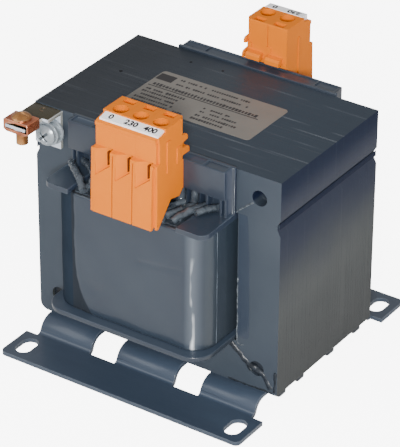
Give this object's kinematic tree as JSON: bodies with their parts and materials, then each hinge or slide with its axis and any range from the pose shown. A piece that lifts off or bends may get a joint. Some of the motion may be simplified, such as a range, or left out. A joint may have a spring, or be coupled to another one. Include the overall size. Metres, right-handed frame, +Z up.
{
  "type": "laminated chassis transformer",
  "caption": "Chassis transformer with a varnished E-I sheet core, wound bobbin, orange clamp terminals on carrier bars, two bent feet and an earth clamp.",
  "frame": {"origin": "centre of the underside of the two feet, on the surface the part stands on", "axes": "+X across the width of the core sheets, -Y towards the side with the longer terminal row, +Z up"},
  "size_m": [0.096, 0.1046, 0.1028],
  "materials": {
    "core_sheets": "dark blue-grey varnish over sheet edges, semi-gloss",
    "core_weld": "varnished weld bead",
    "foot_sheet": "dark blue varnish over sheet steel",
    "bobbin_plastic": "dark moulded plastic under glossy varnish",
    "winding_copper": null,
    "winding_tape": "insulating tape",
    "wrap_film": "blue-grey film under glossy varnish",
    "lead_sleeve": "varnished sleeving",
    "terminal_orange": "orange moulded plastic",
    "terminal_steel": "zinc-plated steel",
    "tag_white": "white plastic with plain voltage numbers",
    "label_film": "silver-grey label with fields of grey",
    "earth_zinc": "bright zinc",
    "earth_olive": "zinc-plated bent sheet, darker on top",
    "earth_copper": null
  },
  "bodies": {
    "root": {"e_sheets": "core_sheets", "i_sheets": "core_sheets", "bobbin": "bobbin_plastic", "primary_winding": "winding_copper", "winding_insulation": "winding_tape", "secondary_winding": "winding_copper", "outer_wrap": "wrap_film", "lead_wires": "lead_sleeve", "front_foot": "foot_sheet", "back_foot": "foot_sheet", "core_weld_seams": "core_weld", "foot_welds": "core_weld", "front_pole_1": "terminal_orange", "front_pole_2": "terminal_orange", "front_pole_3": "terminal_orange", "front_end_plate": "terminal_orange", "back_pole_1": "terminal_orange", "back_pole_2": "terminal_orange", "back_end_plate": "terminal_orange", "terminal_cages": "terminal_steel", "terminal_screws": "terminal_steel", "terminal_posts": "terminal_steel", "front_tag_1": "tag_white", "front_tag_2": "tag_white", "front_tag_3": "tag_white", "back_tag_1": "tag_white", "back_tag_2": "tag_white", "rating_label": "label_film", "earth_bracket": "earth_olive", "earth_screw": "earth_zinc", "earth_spring_washer": "earth_zinc", "earth_flat_washers": "earth_zinc", "earth_nut": "earth_zinc", "earth_saddle": "earth_copper", "earth_saddle_screw": "earth_copper"}
  },
  "joints": []
}
